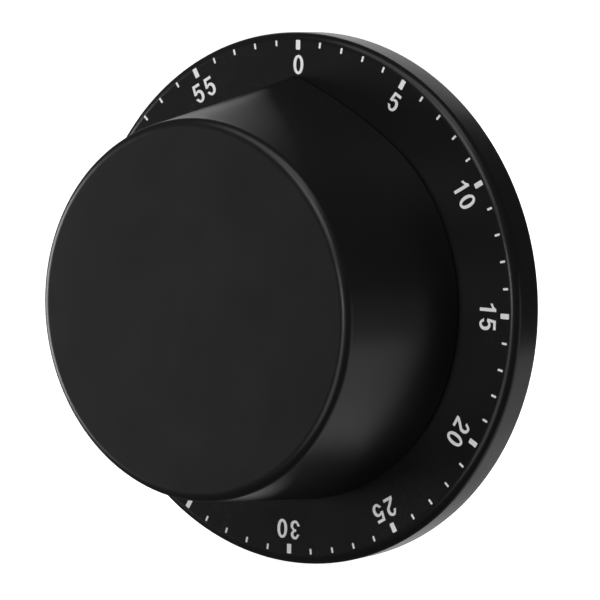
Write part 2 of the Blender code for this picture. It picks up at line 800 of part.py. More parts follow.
def hammer():
    arbor("hammer_arbor", HAMMER, 0.8, rear=10.45, rear_r=0.55)
    half = [(-1.6, 1.0), (-0.2, 1.8), (1.9, 4.3), (4.1, 5.0), (4.4, 4.45), (2.6, 3.8), (1.2, 1.4)]
    outline = facing(mirrored(half), direction(HAMMER, STRIKE))
    flat("hammer_verge", [outline, ring(0.9, 12)], STAR_WHEEL, metal("hammer_verge", *STEEL), HAMMER)
    head = polar(*HAMMER_HEAD)
    reach = (head[0] - HAMMER[0], head[1] - HAMMER[1])
    along = direction(HAMMER, head)
    eye = arc(1.5, along + 35, along + 325, 10)
    tip = []
    for x, z in arc(0.8, along - 90, along + 90, 6):
        tip.append((x + reach[0], z + reach[1]))
    look = metal("hammer", *STEEL)
    arm = as_mesh(flat("hammer", [eye + tip, ring(0.65, 10)], HAMMER_ARM, look, HAMMER))
    join(arm, rod("hammer_head", 1.3, (7.6, HAMMER_ARM[1] - 0.2), head, 14))


# ---------------------------------------------------------------- detent


def detent():
    end = polar(*DETENT_END)
    reach = (end[0] - STUD[0], end[1] - STUD[1])
    along = direction(STUD, end)
    length = math.hypot(*reach)
    foot = (DETENT_FOOT[0] - STUD[0], DETENT_FOOT[1] - STUD[1])

    def on_arm(distance, side):
        x, z = polar(distance, along)
        across = polar(side, along + 90)
        return (x + across[0], z + across[1])

    eye = arc(1.6, along + 30, along + 330, 10)
    outline = [
        *eye,
        on_arm(7.6, -0.8),
        (foot[0] - 0.5, foot[1] + 0.15),
        (foot[0], foot[1]),
        (foot[0] + 0.45, foot[1] + 0.3),
        on_arm(9.6, -0.8),
        on_arm(length + 0.5, -0.55),
        on_arm(length + 0.5, 0.55),
    ]
    look = metal("detent_lever", *STEEL)
    lever = as_mesh(flat("detent_lever", [outline, ring(0.92, 12)], DETENT, look, STUD))
    join(lever, rod("detent_finger", 0.38, (20.3, DETENT[0] + 0.3), end, 10))
    stud = [
        (0, 21.6),
        (1.4, 21.6),
        (1.4, 22.2),
        (0.78, 22.2),
        (0.78, FRONT_PLATE[0] - 0.1),
        (0.5, FRONT_PLATE[0] - 0.1),
        (0.5, FRONT_PLATE[1]),
        (0, FRONT_PLATE[1]),
    ]
    turned("detent_stud", stud, metal("detent_stud", *STEEL), STUD, 12)
    detent_spring(along)


def detent_spring(along):
    """A wire hairpin: one leg rests by the lever, two turns go round the stud, one leg rests by a pillar."""
    radius = 1.25
    pillar = polar(PILLAR_AT, PILLAR_ANGLES[0])
    away = direction(STUD, pillar)
    route = []
    first_leg = polar(5.5, along + 18)
    route.append((first_leg[0], 23.45, first_leg[1]))
    turns = 2 + (away - (along + 60)) / 360
    steps = 26
    for step in range(steps + 1):
        share = step / steps
        x, z = polar(radius, along + 60 + 360 * turns * share)
        route.append((x, 23.55 + 0.85 * share, z))
    last_leg = polar(8.6, away - 11)
    route.append((last_leg[0], 24.4, last_leg[1]))
    curve = bpy.data.curves.new("detent_spring", "CURVE")
    curve.dimensions = "3D"
    curve.bevel_depth = 0.16 * MM
    curve.bevel_resolution = 2
    curve.use_fill_caps = True
    spline = curve.splines.new("POLY")
    spline.points.add(len(route) - 1)
    for point, (x, depth, z) in zip(spline.points, route):
        point.co = (x * MM, -depth * MM, z * MM, 1)
    add("detent_spring", curve, metal("detent_spring", *STEEL), (STUD[0] * MM, 0, STUD[1] * MM))


def main():
    base_housing()
    rear_cover()
    back_pieces()
    screws()
    knob()
    main_arbor()
    on_main_arbor()
    barrel()
    front_plate()
    back_plate()
    pillars()
    bell()
    train()
    escapement()
    strike()
    hammer()
    detent()


main()
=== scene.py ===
"""Looks of a round mechanical kitchen timer, built round the fixed frame of its working parts.

Sizes in this file are millimetres unless they say otherwise, and MM turns them into metres. The
face looks along -Y and +Z is up to the 0. Depth is measured forwards from the magnet's back face.
A place across the face is (x, z), and an angle across the face runs from +X towards +Z.
"""

import math

import bmesh
import bpy
from bpy.props import FloatProperty, FloatVectorProperty, PointerProperty
from mathutils import Matrix, Vector


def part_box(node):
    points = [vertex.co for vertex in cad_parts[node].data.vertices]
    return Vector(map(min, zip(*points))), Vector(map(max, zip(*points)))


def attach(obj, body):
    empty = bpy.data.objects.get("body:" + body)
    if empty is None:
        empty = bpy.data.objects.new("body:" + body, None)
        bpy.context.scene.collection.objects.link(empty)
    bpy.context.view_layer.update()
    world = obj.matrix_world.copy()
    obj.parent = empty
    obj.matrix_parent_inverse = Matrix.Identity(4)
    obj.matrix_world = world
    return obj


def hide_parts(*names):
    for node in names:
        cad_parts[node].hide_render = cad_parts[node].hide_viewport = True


bl_info = {
    "name": "Kitchen timer",
    "version": (1, 0, 0),
    "blender": (4, 5, 0),
    "location": "View3D > Sidebar > Timer",
    "description": "Builds a round mechanical kitchen timer with a turning knob",
    "category": "Object",
}

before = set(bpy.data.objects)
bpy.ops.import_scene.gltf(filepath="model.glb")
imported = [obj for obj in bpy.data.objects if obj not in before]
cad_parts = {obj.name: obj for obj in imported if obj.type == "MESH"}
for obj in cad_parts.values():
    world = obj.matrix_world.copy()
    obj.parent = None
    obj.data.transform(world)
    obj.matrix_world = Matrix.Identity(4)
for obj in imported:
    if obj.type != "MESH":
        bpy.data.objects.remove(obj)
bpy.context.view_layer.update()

MM = 0.001
WELD = 0.00001
SHARP = math.radians(32)
ROUND_STEPS = 192
SMALL_STEPS = 32
EDGE_SEGMENTS = 3


def reach(node):
    """The radius of a round node, from its box."""
    low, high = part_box(node)
    return (high.x - low.x) / 2 / MM


def depths(node):
    """A node's (back, front) depths, from its box."""
    low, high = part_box(node)
    return -high.y / MM, -low.y / MM


# Casing
DIAL_R = reach("base_housing")
CASE_BACK, DRUM_FRONT = depths("base_housing")
DIAL_BACK_R = DIAL_R - 0.1
DIAL_FACE = 6.5
DIAL_REAR = 4.9
SIDE_INNER_R = 37.9
DRUM_OUTER_R = 25.4
DRUM_INNER_R = 24.2
DRUM_END_REAR = 27.2
DRUM_HOLE_R = 4.7
CASE_BREAK = 0.12
REAR_ROUNDING = 0.4
RIM_STEPS = 14

# Knob
KNOB_BACK, KNOB_FACE = depths("knob")
KNOB_BASE_R = 30.1
KNOB_FACE_R = 27.9
POINTER_HALF_ANGLE = 35.0
POINTER_CURVE = 2.2
POINTER_SOFTNESS = 0.15
POINTER_SOFTENING = 8.0
POINTER_STEPS = 30
POINTER_CROWDING = 1.6
BACK_STEPS = 120
FACE_STEPS = 6
SIDE_STEPS = 16
EDGE_STEPS = 12
BASE_BREAK = 0.25
BASE_BREAK_STEPS = 3
HOLLOW_BACK_R = 27.9
HOLLOW_FRONT_R = 26.1
HOLLOW_FACE = KNOB_FACE - 2.1
HOLLOW_BREAK = 0.2
HOLLOW_ROUNDING = 0.6
BOSS_R = 4.0
BOSS_BACK = 26.1
BOSS_FOOT = 0.3
BOSS_END_BREAK = 0.15
CLIP_GROOVE = (26.5, 27.1)
CLIP_GROOVE_R = 3.6
BORE_R = 2.35
BORE_FLAT = 1.62
BORE_END = 30.55

# Back of the casing
PANEL_R = 37.4
PANEL_FRONT = 2.1
# Screw bosses: (radius, hole radius, back, how far they reach into the wall in front)
COVER_BOSS = (2.4, 1.0, PANEL_FRONT + 0.3, 0.5)
MOVEMENT_BOSS = (1.9, 0.8, 26.1, 0.4)
BOSS_BREAK = 0.1
HOLE_END = 0.2
POCKET_R = 11.3
POCKET_WALL_R = 12.6
POCKET_REAR = 3.95
POCKET_FRONT = 4.85
COLLAR_BACK = 0.2
# The grip ring's groove: inner radius, outer radius and floor
GROOVE = (31.4, 34.1, 1.35)
GROOVE_WALL = 0.2
PANEL_BREAK = 0.12
POCKET_BREAK = 0.15
MAGNET_ROUNDING = 0.35
GRIP_ROUNDING = 0.4
# A screw's seat: hole radius, radius, back and front
SEAT = (1.1, 2.3, 1.4, 2.0)
SEAT_OPENING_R = 2.1
SCREW_AT = 28.0
SCREW_ANGLES = (30, 150, 270)
SCREW_STEM_R = 0.85
SCREW_HEAD = 0.8
SCREW_HEAD_BREAK = 0.08
SCREW_SLOT = 0.35
SCREW_SLOT_HALF_WIDTH = 0.2
SLOT_TURNS = (20, 75, 140)
SOUND_ROWS = (15.4, 18.2, 21.0)
SOUND_SPANS = (60, 180, 300)
SOUND_HALF_SPAN = 23
SOUND_WIDTH = 1.3
MOVEMENT_SCREW_AT = 21.2
MOVEMENT_SCREW_ANGLES = (40, 160, 280)

# Print. It sits a little above the middle of the dial.
PRINT_RISE = 0.22
INK_ROOT = 0.02
FIGURE_ADVANCE = 2.42
FIGURE_TOP = 2.9
FIGURE_THINNING = 0.03
FIGURE_WIDTH = 0.97
FIGURE_TURN = 0.2
TICK_CORNER = 0.12
# A tick's (width, length)
FIFTH_TICK = (0.78, 1.46)
MINUTE_TICK = (0.34, 0.88)
FIFTH_TICK_INSET = 0.25

# Figures, as closed outlines of (x, height, tangent in degrees). A corner has no tangent.
FIGURES = {
    "0": [
        [(0, 2.93, 180), (-0.965, 1.46, 270), (0, -0.03, 0), (0.965, 1.46, 90)],
        [(0, 2.45, 0), (0.385, 1.46, 270), (0, 0.45, 180), (-0.385, 1.46, 90)],
    ],
    "1": [
        [
            (0.02, 0, None),
            (0.59, 0, None),
            (0.59, 2.92, None),
            (0.14, 2.92, None),
            (-0.18, 2.54, 222),
            (-0.7, 2.28, None),
            (-0.7, 1.8, None),
            (0.02, 2.14, None),
        ]
    ],
    "2": [
        [
            (-0.88, 0, None),
            (0.93, 0, None),
            (0.93, 0.5, None),
            (-0.14, 0.5, None),
            (0.46, 1.14, 43),
            (0.94, 2.03, 90),
            (0.02, 2.93, 180),
            (-0.88, 1.98, None),
            (-0.34, 1.92, None),
            (0.01, 2.45, 0),
            (0.37, 2.04, 270),
            (0.02, 1.42, 223),
            (-0.84, 0.45, None),
        ]
    ],
    "3": [
        [
            (-0.95, 0.84, None),
            (0, -0.03, 0),
            (0.96, 0.85, 90),
            (0.52, 1.56, None),
            (0.87, 2.16, 90),
            (0, 2.93, 180),
            (-0.88, 2.12, None),
            (-0.37, 2.04, None),
            (-0.01, 2.46, 0),
            (0.31, 2.12, 270),
            (-0.06, 1.77, 180),
            (-0.2, 1.77, None),
            (-0.2, 1.32, None),
            (-0.02, 1.32, 0),
            (0.39, 0.88, 270),
            (0, 0.44, 180),
            (-0.41, 0.92, None),
        ]
    ],
    "4": [
        [
            (0.12, 0, None),
            (0.66, 0, None),
            (0.66, 0.6, None),
            (0.97, 0.6, None),
            (0.97, 1.08, None),
            (0.66, 1.08, None),
            (0.66, 2.9, None),
            (0.16, 2.9, None),
            (-0.98, 1.1, None),
            (-0.98, 0.6, None),
            (0.12, 0.6, None),
        ],
        [(0.12, 1.08, None), (-0.46, 1.08, None), (0.12, 2.02, None)],
    ],
    "5": [
        [
            (0.84, 2.9, None),
            (-0.64, 2.9, None),
            (-0.9, 1.36, None),
            (-0.4, 1.3, None),
            (0, 1.53, 0),
            (0.38, 1, 270),
            (-0.02, 0.44, 180),
            (-0.4, 0.84, None),
            (-0.965, 0.78, None),
            (-0.02, -0.03, 0),
            (0.965, 1.02, 90),
            (0.12, 1.98, 180),
            (-0.32, 1.84, None),
            (-0.22, 2.4, None),
            (0.84, 2.4, None),
        ]
    ],
}
# How far a curve's handles reach towards its neighbours
ROUNDNESS = 0.58

# Bell
BELL_HOLE_R = 1.0
BELL_TOP_R = 10.6
BELL_INNER_TOP_R = 10.25
BELL_WALL = 0.7
BELL_STEPS = 14

# What carries over from the frame, by finish
MOVEMENT = {
    "brass": (
        "front_plate",
        "back_plate",
        "bell_post",
        "main_wheel",
        "release_cam",
        "mainspring_barrel",
        "barrel_cover",
        "second_wheel",
        "third_wheel",
        "escape_wheel",
        "star_wheel",
    ),
    "steel": (
        "magnet_keeper",
        "pillar_1",
        "pillar_2",
        "pillar_3",
        "pillar_nut_1",
        "pillar_nut_2",
        "pillar_nut_3",
        "detent_stud",
        "main_arbor",
        "clutch_washer",
        "second_pinion",
        "third_pinion",
        "escape_pinion",
        "pallet_anchor",
        "pallet_arbor",
        "strike_pinion",
        "hammer_arbor",
        "hammer_verge",
        "hammer",
        "detent_lever",
    ),
    "spring_steel": ("detent_spring", "knob_clip", "mainspring"),
    "zinc_steel": ("movement_screw_1", "movement_screw_2", "movement_screw_3", "bell_screw"),
}

# Stage. The camera's angles are degrees round the upright axis, above the horizon and about its view.
CAMERA_AZIMUTH = 35.763
CAMERA_ELEVATION = 5.615
CAMERA_ROLL = 1.026
CAMERA_DISTANCE = 747.246
CAMERA_AIM = (1.185, -6.5, -0.008)
CAMERA_LENS = 299.355
VIEW_TRANSFORM = "Standard"
# The room and the lights are in metres.
ROOM_R = 6.0
FLOOR_GLOW = 1.0
WORLD_STRENGTH = 0.055
LIGHT_DISTANCE = 1.0
# Each light: name, azimuth, elevation, width and power in watts
LIGHTS = (
    ("key", 15, 35, 0.5, 3.0),
    ("top", -20, 60, 0.5, 1.5),
    ("top_right", 45, 65, 0.5, 2.0),
    ("edge", 15, 0, 0.2, 1.5),
    ("low_front", 15, -25, 0.5, 1.5),
    ("left", -70, -5, 0.5, 7.0),
    ("right", 115, -10, 0.5, 0.5),
    ("back_left", -155, 15, 0.8, 1.5),
    ("back", -170, -15, 0.8, 1.5),
    ("back_right", 140, -35, 0.8, 1.5),
)


class TimerSizes(bpy.types.PropertyGroup):
    """Sizes that change the look of the timer."""

    rim_rounding: FloatProperty(
        name="Rim rounding",
        description="Radius of the dial's front edge",
        default=1.48 * MM,
        unit="LENGTH",
    )
    knob_rounding: FloatProperty(
        name="Knob edge",
        description="Radius of the knob's front edge",
        default=1.5 * MM,
        unit="LENGTH",
    )
    pointer_rise: FloatProperty(
        name="Pointer",
        description="How far the pointer stands out of the knob's base",
        default=3.5 * MM,
        unit="LENGTH",
    )
    figure_ring: FloatProperty(
        name="Figure ring",
        description="Distance from the dial's centre to the middle of the figures",
        default=35.0 * MM,
        unit="LENGTH",
    )
    tick_ring: FloatProperty(
        name="Tick ring",
        description="Distance from the dial's centre to the middle of the minute marks",
        default=38.2 * MM,
        unit="LENGTH",
    )
    ink: FloatProperty(
        name="Ink",
        description="How far the print stands proud of the dial",
        default=0.03 * MM,
        unit="LENGTH",
    )


class TimerColours(bpy.types.PropertyGroup):
    """Colours of the timer's finishes."""

    body: FloatVectorProperty(
        name="Body",
        description="Casing and knob plastic",
        default=(0.008, 0.008, 0.0083),
        subtype="COLOR",
    )
    print: FloatVectorProperty(
        name="Print",
        description="Figures and minute marks",
        default=(0.84, 0.84, 0.83),
        subtype="COLOR",
    )
    brass: FloatVectorProperty(
        name="Brass",
        description="Plates and wheels",
        default=(0.72, 0.5, 0.2),
        subtype="COLOR",
    )
    steel: FloatVectorProperty(
        name="Steel",
        description="Arbors, pinions and pillars",
        default=(0.5, 0.51, 0.52),
        subtype="COLOR",
    )
    plate: FloatVectorProperty(
        name="Plating",
        description="Bell, magnet and screws",
        default=(0.66, 0.65, 0.63),
        subtype="COLOR",
    )
    floor: FloatVectorProperty(
        name="Floor",
        description="The floor that the timer stands on",
        default=(0.9, 0.9, 0.9),
        subtype="COLOR",
    )


def sizes():
    return bpy.context.scene.timer_sizes


def colours():
    return bpy.context.scene.timer_colours


# ---------------------------------------------------------------- finishes


class Value:
    """A number that varies over a surface, so that shader maths reads as arithmetic."""

    def __init__(self, finish, socket):
        self.finish = finish
        self.socket = socket

    def maths(self, operation, first, second):
        node = self.finish.node("ShaderNodeMath", {"operation": operation}, {0: first, 1: second})
        return Value(self.finish, node.outputs[0])

    def __add__(self, other):
        return self.maths("ADD", self, other)

    def __sub__(self, other):
        return self.maths("SUBTRACT", self, other)

    def __rsub__(self, other):
        return self.maths("SUBTRACT", other, self)

    def __mul__(self, other):
        return self.maths("MULTIPLY", self, other)

    def __pow__(self, other):
        return self.maths("POWER", self, other)

    __radd__ = __add__
    __rmul__ = __mul__


class Finish:
    """A material with one Principled shader. The parts bring plain ones under their slots' names."""

    def __init__(self, kind, **constants):
        self.material = bpy.data.materials.new(f"{kind}_finish")
        self.material.use_nodes = True
        self.tree = self.material.node_tree
        self.shader = self.tree.nodes["Principled BSDF"]
        for name, value in constants.items():
            self.shader.inputs[name.replace("_", " ")].default_value = value
        self.place = self.node("ShaderNodeTexCoord", {}, {}).outputs["Object"]

    def plug(self, socket, value):
        """Links a varying value to a socket, or sets a constant one."""
        if isinstance(value, Value):
            value = value.socket
        if isinstance(value, bpy.types.NodeSocket):
            self.tree.links.new(value, socket)
        else:
            socket.default_value = value

    def node(self, kind, settings, sockets):
        """Adds a node: its settings are set first, then its sockets are given values or links."""
        node = self.tree.nodes.new(kind)
        for name, value in settings.items():
            setattr(node, name, value)
        for name, value in sockets.items():
            self.plug(node.inputs[name], value)
        return node

    def across(self):
        """The place's (x, depth, z) parts as values."""
        split = self.node("ShaderNodeSeparateXYZ", {}, {0: self.place})
        return [Value(self, socket) for socket in split.outputs]

    def grain(self, size, detail=2.0, stretch=(1, 1, 1)):
        """Noise from 0 to 1 with features of about this size in millimetres."""
        turned = self.node("ShaderNodeMapping", {}, {"Vector": self.place, "Scale": stretch})
        sockets = {"Vector": turned.outputs[0], "Scale": 1 / (size * MM), "Detail": detail}
        return Value(self, self.node("ShaderNodeTexNoise", {}, sockets).outputs[0])

    def lines(self, along, spacing):
        """Uneven lines across one value, about this far apart in millimetres."""
        settings = {"noise_dimensions": "1D"}
        sockets = {"W": along, "Scale": 1 / (spacing * MM), "Detail": 3.0, "Roughness": 0.7}
        return Value(self, self.node("ShaderNodeTexNoise", settings, sockets).outputs[0])

    def shade(self, colour, mask, low, high):
        """The colour scaled between two strengths by a mask, into Base Color."""
        dark = [channel * low for channel in colour] + [1.0]
        light = [channel * high for channel in colour] + [1.0]
        mix = self.node("ShaderNodeMix", {"data_type": "RGBA"}, {0: mask, 6: dark, 7: light})
        self.plug(self.shader.inputs["Base Color"], mix.outputs[2])

    def roughen(self, value):
        self.plug(self.shader.inputs["Roughness"], value)

    def emboss(self, height, depth):
        """Relief of this depth in millimetres from a height of 0 to 1."""
        sockets = {"Strength": 1.0, "Distance": depth * MM, "Height": height}
        bump = self.node("ShaderNodeBump", {}, sockets)
        self.plug(self.shader.inputs["Normal"], bump.outputs[0])


def moulded_plastic(kind, specular, roughness):
    """Satin moulded plastic: a fine spark texture with faint broad patches where it was handled."""
    finish = Finish(kind, Specular_IOR_Level=specular)
    texture = finish.grain(0.14, 3.0)
    patches = finish.grain(9.0, 2.0)
    flow = finish.grain(2.2, 3.0)
    finish.shade(colours().body, patches * 0.6 + texture * 0.4, 0.8, 1.25)
    uneven = (patches - 0.5) * 0.05 + (flow - 0.5) * 0.03 + (texture - 0.5) * 0.05
    finish.roughen(roughness + uneven)
    finish.emboss(texture, 0.0015)
    return finish


def black_plastic():
    return moulded_plastic("black_plastic", 0.25, 0.26)


def knob_plastic():
    return moulded_plastic("knob_plastic", 0.3, 0.31)


def white_print():
    """Pad-printed ink, a little thinner in places."""
    finish = Finish("white_print", Specular_IOR_Level=0.4)
    cover = finish.grain(0.35, 3.0)
    finish.shade(colours().print, cover, 0.94, 1.06)
    finish.roughen(0.5 + (cover - 0.5) * 0.15)
    finish.emboss(cover, 0.004)
    return finish


def brass():
    """Stamped sheet brass with a straight rolling grain and slight tarnish."""
    finish = Finish("brass", Metallic=1.0)
    rolled = finish.grain(0.06, 3.0, (1, 1, 0.04))
    tarnish = finish.grain(4.0, 4.0)
    finish.shade(colours().brass, tarnish * 0.7 + rolled * 0.3, 0.72, 1.2)
    finish.roughen(0.24 + rolled * 0.14 + tarnish * 0.1)
    finish.emboss(rolled, 0.002)
    return finish


def steel():
    """Turned steel: tool marks run round each arbor."""
    finish = Finish("steel", Metallic=1.0)
    _, depth, _ = finish.across()
    marks = finish.lines(depth, 0.05)
    oil = finish.grain(2.5, 3.0)
    finish.shade(colours().steel, oil * 0.6 + marks * 0.4, 0.8, 1.15)
    finish.roughen(0.22 + marks * 0.16 + oil * 0.08)
    finish.emboss(marks, 0.002)
    return finish


def spring_steel():
    """Tempered strip, a little blue in places."""
    finish = Finish("spring_steel", Metallic=1.0)
    rolled = finish.grain(0.05, 3.0, (1, 0.03, 1))
    temper = finish.grain(5.0, 2.0)
    finish.shade((0.3, 0.33, 0.4), temper * 0.8 + rolled * 0.2, 0.75, 1.25)
    finish.roughen(0.26 + rolled * 0.12)
    finish.emboss(rolled, 0.0015)
    return finish


def zinc_steel():
    """Bright zinc plate with the fine pitting that barrel plating leaves."""
    finish = Finish("zinc_steel", Metallic=1.0)
    pits = finish.grain(0.09, 4.0)
    patches = finish.grain(1.2, 2.0)
    finish.shade((0.58, 0.6, 0.63), patches, 0.85, 1.1)
    finish.roughen(0.28 + pits * 0.14 + patches * 0.08)
    finish.emboss(pits, 0.003)
    return finish


def turned_plate(kind, spacing, roughness):
    """Nickel plate over a face with faint rings round the main axis."""
    finish = Finish(kind, Metallic=1.0)
    x, _, z = finish.across()
    marks = finish.lines((x * x + z * z) ** 0.5, spacing)
    haze = finish.grain(3.0, 3.0)
    finish.shade(colours().plate, haze * 0.6 + marks * 0.4, 0.88, 1.08)
    finish.roughen(roughness + marks * 0.1 + haze * 0.1)
    finish.emboss(marks, 0.0015)
    return finish


def bell_steel():
    return turned_plate("bell_steel", 0.22, 0.12)


def magnet_nickel():
    return turned_plate("magnet_nickel", 0.12, 0.22)


def grip_rubber():
    """Soft rubber with a dull bloom."""
    finish = Finish("grip_rubber", Specular_IOR_Level=0.35)
    texture = finish.grain(0.1, 3.0)
    bloom = finish.grain(3.0, 3.0)
    finish.shade((0.02, 0.02, 0.02), bloom, 0.8, 1.4)
    finish.roughen(0.76 + bloom * 0.12)
    finish.emboss(texture, 0.012)
    return finish


FINISHES = {
    made.__name__: made
    for made in (
        black_plastic,
        knob_plastic,
        white_print,
        brass,
        steel,
        spring_steel,
        zinc_steel,
        bell_steel,
        magnet_nickel,
        grip_rubber,
    )
}


def material(kind):
    """The finish of a kind, made once."""
    return bpy.data.materials.get(f"{kind}_finish") or FINISHES[kind]().material


# ---------------------------------------------------------------- shapes


def polar(radius, degrees):
    """The place at a radius and an angle across the face."""
    angle = math.radians(degrees)
    return radius * math.cos(angle), radius * math.sin(angle)


def arc(radius, begin, end, count, centre=(0, 0)):
    """Points from one angle to another, both ends included."""
    made = []
    for step in range(count + 1):
        x, z = polar(radius, begin + (end - begin) * step / count)
        made.append((centre[0] + x, centre[1] + z))
    return made


def loop(radius, count, centre=(0, 0)):
    """The points of a full circle."""
    return arc(radius, 0, 360 - 360 / count, count - 1, centre)


def soften(shape, edges, size):
    """Rounds edges of a shape."""
    bmesh.ops.bevel(
        shape,
        geom=edges,
        offset=size,
        offset_type="OFFSET",
        segments=EDGE_SEGMENTS,
        profile=0.5,
        affect="EDGES",
        clamp_overlap=True,
        material=-1,
    )


def sharp_edges(shape):
    """The edges that turn more than a smooth surface does."""
    return [edge for edge in shape.edges if edge.calc_face_angle(0) > SHARP]


def spin(shape, section, at, steps):
    """Adds a shape spun from a (radius, depth) section round an axis through at. A section that
    starts on the axis ends on it too; any other closes on itself."""
    points = [shape.verts.new((at[0] + radius, -depth, at[1])) for radius, depth in section]
    pairs = list(zip(points, points[1:]))
    if section[0][0] > 0:
        pairs.append((points[-1], points[0]))
    edges = [shape.edges.new(pair) for pair in pairs]
    bmesh.ops.spin(
        shape,
        geom=points + edges,
        cent=(at[0], 0, at[1]),
        axis=(0, 1, 0),
        steps=steps,
        angle=math.tau,
        use_merge=True,
    )


def spun(section, at=(0, 0), steps=ROUND_STEPS, rounding=0.0):
    """A spun shape on its own, with its sharp edges rounded."""
    shape = bmesh.new()
    spin(shape, section, at, steps)
    weld(shape)
    if rounding:
        soften(shape, sharp_edges(shape), rounding)
    return shape


def weld(shape):
    """Joins points that coincide and turns all faces outwards."""
    bmesh.ops.remove_doubles(shape, verts=shape.verts, dist=WELD)
    bmesh.ops.recalc_face_normals(shape, faces=shape.faces)


def outlined(outlines, back, front, rounding=0.0, thinning=0.0):
    """A flat shape between two depths, from closed outlines. An outline is a list of (x, z)
    corners, or of (x, z, tangent) points that are joined by smooth curves. Thinning draws every
    side in."""
    curve = bpy.data.curves.new("outline", "CURVE")
    curve.dimensions = "2D"
    curve.fill_mode = "BOTH"
    curve.extrude = (front - back) / 2 - rounding
    curve.bevel_depth = rounding
    curve.bevel_resolution = 2
    curve.offset = -rounding - thinning
    curve.resolution_u = 10
    for outline in outlines:
        if len(outline[0]) == 2:
            spline = curve.splines.new("POLY")
            spline.points.add(len(outline) - 1)
            for point, (x, z) in zip(spline.points, outline):
                point.co = (x, z, 0, 1)
        else:
            spline = curve.splines.new("BEZIER")
            spline.bezier_points.add(len(outline) - 1)
            for index, point in enumerate(spline.bezier_points):
                after = outline[(index + 1) % len(outline)]
                shape_handles(point, outline[index], outline[index - 1], after)
        spline.use_cyclic_u = True
    holder = bpy.data.objects.new("outline", curve)
    bpy.context.scene.collection.objects.link(holder)
    graph = bpy.context.evaluated_depsgraph_get()
    mesh = bpy.data.meshes.new_from_object(holder.evaluated_get(graph))
    shape = bmesh.new()
    shape.from_mesh(mesh)
    bpy.data.meshes.remove(mesh)
    bpy.data.objects.remove(holder)
    bpy.data.curves.remove(curve)
    # The outline's own plane turns upright, with its front towards -Y.
    upright = Matrix.Rotation(math.radians(90), 3, "X")
    bmesh.ops.rotate(shape, verts=shape.verts, cent=(0, 0, 0), matrix=upright)
    bmesh.ops.translate(shape, verts=shape.verts, vec=(0, -(back + front) / 2, 0))
    weld(shape)
    return shape


def shape_handles(point, here, before, after):
    """Places a curve point's handles: along its tangent, or straight at its neighbours at a corner."""
    place = Vector(here[:2])
    point.co = (*place, 0)
    point.handle_left_type = point.handle_right_type = "FREE"
    handles = []
    for near in (before, after):
        reach_to = Vector(near[:2]) - place
        if here[2] is None:
            handles.append(place + reach_to / 3)
        else:
            tangent = Vector(polar(1.0, here[2]))
            handles.append(place + tangent * tangent.dot(reach_to) * ROUNDNESS)
    point.handle_left = (*handles[0], 0)
    point.handle_right = (*handles[1], 0)


def merged(*shapes):
    """One shape that holds several."""
    whole = bmesh.new()
    for shape in shapes:
        mesh = bpy.data.meshes.new("merging")
        shape.to_mesh(mesh)
        shape.free()
        whole.from_mesh(mesh)
        bpy.data.meshes.remove(mesh)
    return whole


def piece(name, shape, slot, body, nodes=(), look=None):
    """Turns a shape into a finished piece that moves with a body and stands for these nodes."""
    weld(shape)
    bmesh.ops.scale(shape, vec=(MM, MM, MM), verts=shape.verts)
    mesh = bpy.data.meshes.new(name)
    shape.to_mesh(mesh)
    shape.free()
    mesh.shade_smooth()
    mesh.set_sharp_from_angle(angle=SHARP)
    mesh.materials.append(material(look or slot))
    obj = bpy.data.objects.new(name, mesh)
    bpy.context.scene.collection.objects.link(obj)
    # Wide flat faces keep their own direction, and the rounding beside them takes up the turn.
    flatten = obj.modifiers.new("flat_faces", "WEIGHTED_NORMAL")
    flatten.mode = "FACE_AREA"
    flatten.keep_sharp = True
    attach(obj, body)
    if nodes:
        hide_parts(*nodes)


# ---------------------------------------------------------------- pieces


class TIMER_OT_casing(bpy.types.Operator):
    """Build the dial, its rounded rim and the drum behind the knob"""

    bl_idname = "timer.casing"
    bl_label = "Casing"

    def execute(self, context):
        rounding = sizes().rim_rounding / MM
        rim = arc(rounding, 0, 90, RIM_STEPS, (DIAL_R - rounding, DIAL_FACE - rounding))
        section = [
            (SIDE_INNER_R, CASE_BACK),
            (DIAL_BACK_R - REAR_ROUNDING, CASE_BACK),
            (DIAL_BACK_R - 0.3 * REAR_ROUNDING, CASE_BACK + 0.3 * REAR_ROUNDING),
            (DIAL_BACK_R, CASE_BACK + REAR_ROUNDING),
            *rim,
            (DRUM_OUTER_R, DIAL_FACE),
            (DRUM_OUTER_R, DRUM_FRONT),
            (DRUM_HOLE_R, DRUM_FRONT),
            (DRUM_HOLE_R, DRUM_END_REAR),
            (DRUM_INNER_R, DRUM_END_REAR),
            (DRUM_INNER_R, DIAL_REAR),
            (SIDE_INNER_R, DIAL_REAR),
        ]
        shapes = [spun(section, rounding=CASE_BREAK)]
        for angle in SCREW_ANGLES:
            shapes.append(self.boss(COVER_BOSS, DIAL_REAR, polar(SCREW_AT, angle)))
        for angle in MOVEMENT_SCREW_ANGLES:
            at = polar(MOVEMENT_SCREW_AT, angle)
            shapes.append(self.boss(MOVEMENT_BOSS, DRUM_END_REAR, at))
        piece("casing", merged(*shapes), "black_plastic", "timer_body", ["base_housing"])
        return {"FINISHED"}

    def boss(self, boss, wall, at):
        """A screw boss on the back of a wall, with a blind hole from its back."""
        radius, hole, back, reach_in = boss
        front = wall + reach_in
        end = front - HOLE_END
        core = [(0, end), (hole, end), (hole, back), (radius, back), (radius, front), (0, front)]
        return spun(core, at, SMALL_STEPS, BOSS_BREAK)


